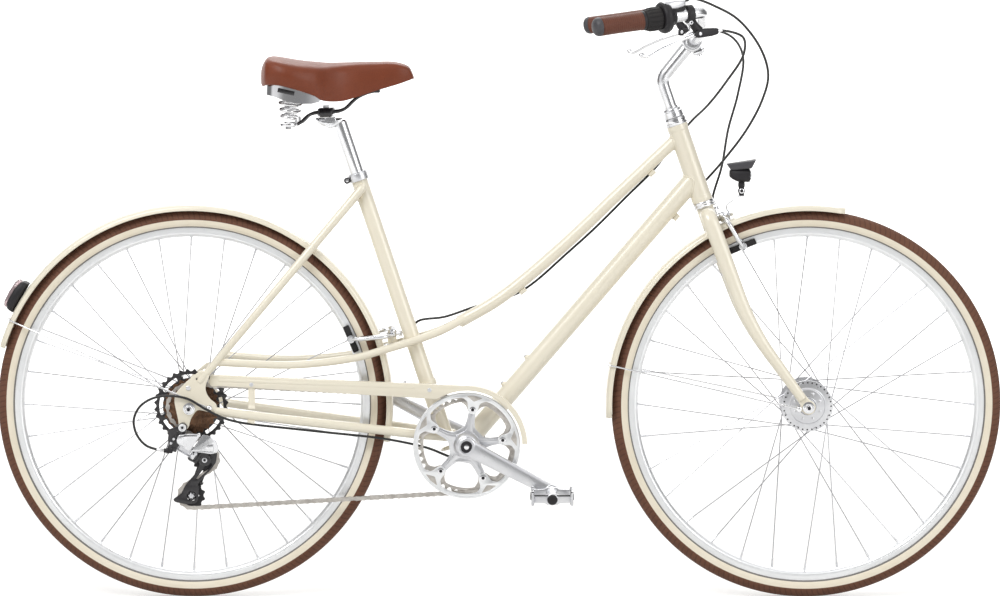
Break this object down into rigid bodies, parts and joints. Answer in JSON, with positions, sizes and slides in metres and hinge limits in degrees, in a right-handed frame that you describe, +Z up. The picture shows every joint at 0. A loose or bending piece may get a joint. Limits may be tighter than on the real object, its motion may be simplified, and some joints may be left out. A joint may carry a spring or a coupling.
{
  "type": "step through bicycle",
  "caption": "Low step-through city bicycle with a curved top tube, mudguards, chain guard, derailleur gears, swept handlebar and sprung saddle.",
  "frame": {"origin": "on the ground, midway between the two wheel axles, in the bicycle's mid-plane", "axes": "+X forwards, +Y to the rider's left, +Z up; the drive side is at -Y"},
  "size_m": [1.798, 0.645, 1.0759],
  "materials": {
    "cream_paint": "gloss",
    "polished_metal": "polished",
    "satin_metal": "satin",
    "chrome_plate": "polished",
    "brown_tyre": "matte",
    "brown_vinyl": "satin",
    "black_plastic": "matte",
    "black_steel": "satin",
    "bronze_steel": "satin",
    "cable_housing": "satin",
    "lamp_lens": "polished"
  },
  "bodies": {
    "frame": {"head_and_down_tube": "cream_paint", "top_tube": "cream_paint", "seat_tube": "cream_paint", "chain_stays": "cream_paint", "headset": "chrome_plate", "seat_clamp": "polished_metal", "bottom_bracket": "satin_metal", "chain_guard": "cream_paint", "rear_mudguard": "cream_paint", "rear_mudguard_stay": "chrome_plate", "tail_lamp": "black_plastic", "rear_axle": "chrome_plate", "derailleur_mount": "black_steel", "shift_cable": "cable_housing", "rear_brake_cable": "cable_housing", "chain": "bronze_steel"},
    "steering": {"fork": "cream_paint", "stem": "polished_metal", "handlebar": "polished_metal", "grip_left": "brown_vinyl", "grip_right": "brown_vinyl", "lever_body_left": "black_plastic", "lever_body_right": "black_plastic", "shifter_body": "satin_metal", "front_mudguard": "cream_paint", "front_mudguard_stay": "chrome_plate", "headlamp_bracket": "chrome_plate", "front_axle": "chrome_plate", "front_brake_cable": "cable_housing"},
    "lamp": {"headlamp": "black_plastic"},
    "front_wheel": {"front_hub": "satin_metal", "front_rim": "satin_metal", "front_tyre": "brown_tyre"},
    "rear_wheel": {"rear_hub": "satin_metal", "rear_rim": "satin_metal", "rear_tyre": "brown_tyre"},
    "sprockets": {"cassette": "bronze_steel"},
    "cranks": {"crank_right": "polished_metal", "chainring": "polished_metal", "crank_left": "polished_metal"},
    "right_pedal": {"pedal_right": "polished_metal"},
    "left_pedal": {"pedal_left": "polished_metal"},
    "saddle": {"seat_post": "polished_metal", "saddle_clamp": "black_steel", "saddle_frame": "black_steel", "saddle_cover": "brown_vinyl", "saddle_spring_left": "chrome_plate", "saddle_spring_right": "chrome_plate"},
    "link": {"derailleur_link": "satin_metal"},
    "knuckle": {"derailleur_knuckle": "black_steel"},
    "cage": {"derailleur_cage": "black_steel"},
    "upper_jockey": {"upper_jockey_wheel": "black_plastic"},
    "lower_jockey": {"lower_jockey_wheel": "black_plastic"},
    "shifter": {"shifter_sleeve": "black_plastic"},
    "left_lever": {"brake_lever_left": "polished_metal"},
    "right_lever": {"brake_lever_right": "polished_metal"},
    "front_left_arm": {"front_brake_arm_left": "polished_metal"},
    "front_right_arm": {"front_brake_arm_right": "polished_metal"},
    "rear_left_arm": {"rear_brake_arm_left": "polished_metal"},
    "rear_right_arm": {"rear_brake_arm_right": "polished_metal"}
  },
  "joints": [
    {"name": "steering_turn", "type": "hinge", "parent": "frame", "child": "steering", "pos_m": [0.363, 0, 0.7135], "axis": [-0.3256, 0, 0.9455], "range_deg": [-60, 60], "deforming": ["shift_cable", "rear_brake_cable"]},
    {"name": "front_wheel_spin", "type": "hinge", "parent": "steering", "child": "front_wheel", "pos_m": [0.55, 0, 0.349], "axis": [0, 1, 0], "continuous": true},
    {"name": "rear_wheel_spin", "type": "hinge", "parent": "frame", "child": "rear_wheel", "pos_m": [-0.55, 0, 0.349], "axis": [0, 1, 0], "continuous": true},
    {"name": "crank_spin", "type": "hinge", "parent": "frame", "child": "cranks", "pos_m": [-0.058, 0, 0.281], "axis": [0, 1, 0], "continuous": true},
    {"name": "sprocket_spin", "type": "hinge", "parent": "frame", "child": "sprockets", "pos_m": [-0.55, -0.045, 0.349], "axis": [0, 1, 0], "continuous": true},
    {"name": "right_pedal_spin", "type": "hinge", "parent": "cranks", "child": "right_pedal", "pos_m": [0.09293, -0.138, 0.20277], "axis": [0, 1, 0], "continuous": true},
    {"name": "left_pedal_spin", "type": "hinge", "parent": "cranks", "child": "left_pedal", "pos_m": [-0.20893, 0.138, 0.35923], "axis": [0, 1, 0], "continuous": true},
    {"name": "seat_height", "type": "slide", "parent": "frame", "child": "saddle", "axis": [-0.3156, 0, 0.9489], "range_m": [-0.05, 0.04]},
    {"name": "lamp_tilt", "type": "hinge", "parent": "steering", "child": "lamp", "pos_m": [0.432, 0, 0.732], "axis": [0, 1, 0], "range_deg": [-12, 12]},
    {"name": "shifter_twist", "type": "hinge", "parent": "steering", "child": "shifter", "pos_m": [0.25978, -0.26584, 1.03785], "axis": [0.9071, 0.4014, 0.1267], "range_deg": [-50, 50]},
    {"name": "link_swing", "type": "hinge", "parent": "frame", "child": "link", "pos_m": [-0.572, -0.078, 0.287], "axis": [-0.5425, 0, -0.84], "range_deg": [-18, 18], "deforming": ["chain"]},
    {"name": "knuckle_swing", "type": "hinge", "parent": "link", "child": "knuckle", "pos_m": [-0.54224, -0.06554, 0.26778], "axis": [-0.5425, 0, -0.84], "range_deg": [-18, 18], "deforming": ["chain"]},
    {"name": "cage_swing", "type": "hinge", "parent": "knuckle", "child": "cage", "pos_m": [-0.524, -0.045, 0.256], "axis": [0, 1, 0], "range_deg": [-25, 35], "stiffness_Nm_per_rad": 1, "deforming": ["chain"]},
    {"name": "upper_jockey_spin", "type": "hinge", "parent": "cage", "child": "upper_jockey", "pos_m": [-0.524, -0.045, 0.256], "axis": [0, 1, 0], "continuous": true},
    {"name": "lower_jockey_spin", "type": "hinge", "parent": "cage", "child": "lower_jockey", "pos_m": [-0.549, -0.045, 0.19], "axis": [0, 1, 0], "continuous": true},
    {"name": "left_lever_squeeze", "type": "hinge", "parent": "steering", "child": "left_lever", "pos_m": [0.33988, 0.2304, 1.01303], "axis": [0.4047, 0.9145, 0], "range_deg": [0, 15], "stiffness_Nm_per_rad": 0.5},
    {"name": "right_lever_squeeze", "type": "hinge", "parent": "steering", "child": "right_lever", "pos_m": [0.33988, -0.2304, 1.01303], "axis": [-0.4047, 0.9145, 0], "range_deg": [0, 15], "stiffness_Nm_per_rad": 0.5},
    {"name": "front_left_arm_close", "type": "hinge", "parent": "steering", "child": "front_left_arm", "pos_m": [0.37472, 0, 0.67946], "axis": [0.9455, 0, 0.3256], "range_deg": [-1.31, 0]},
    {"name": "front_right_arm_close", "type": "hinge", "parent": "steering", "child": "front_right_arm", "pos_m": [0.37472, 0, 0.67946], "axis": [0.9455, 0, 0.3256], "range_deg": [0, 1.31]},
    {"name": "rear_left_arm_close", "type": "hinge", "parent": "frame", "child": "rear_left_arm", "pos_m": [-0.192, 0, 0.455], "axis": [0, 0, 1], "range_deg": [0, 1.31]},
    {"name": "rear_right_arm_close", "type": "hinge", "parent": "frame", "child": "rear_right_arm", "pos_m": [-0.192, 0, 0.455], "axis": [0, 0, 1], "range_deg": [-1.31, 0]}
  ],
  "couplings": [
    {"joint": "sprocket_spin", "follows": "crank_spin", "ratio": 2.1},
    {"joint": "upper_jockey_spin", "follows": "crank_spin", "ratio": -3.8182},
    {"joint": "lower_jockey_spin", "follows": "crank_spin", "ratio": 3.8182},
    {"joint": "link_swing", "follows": "shifter_twist", "ratio": 0.36},
    {"joint": "knuckle_swing", "follows": "shifter_twist", "ratio": -0.36},
    {"joint": "front_left_arm_close", "follows": "left_lever_squeeze", "ratio": -0.087},
    {"joint": "front_right_arm_close", "follows": "left_lever_squeeze", "ratio": 0.087},
    {"joint": "rear_left_arm_close", "follows": "right_lever_squeeze", "ratio": 0.087},
    {"joint": "rear_right_arm_close", "follows": "right_lever_squeeze", "ratio": -0.087}
  ]
}
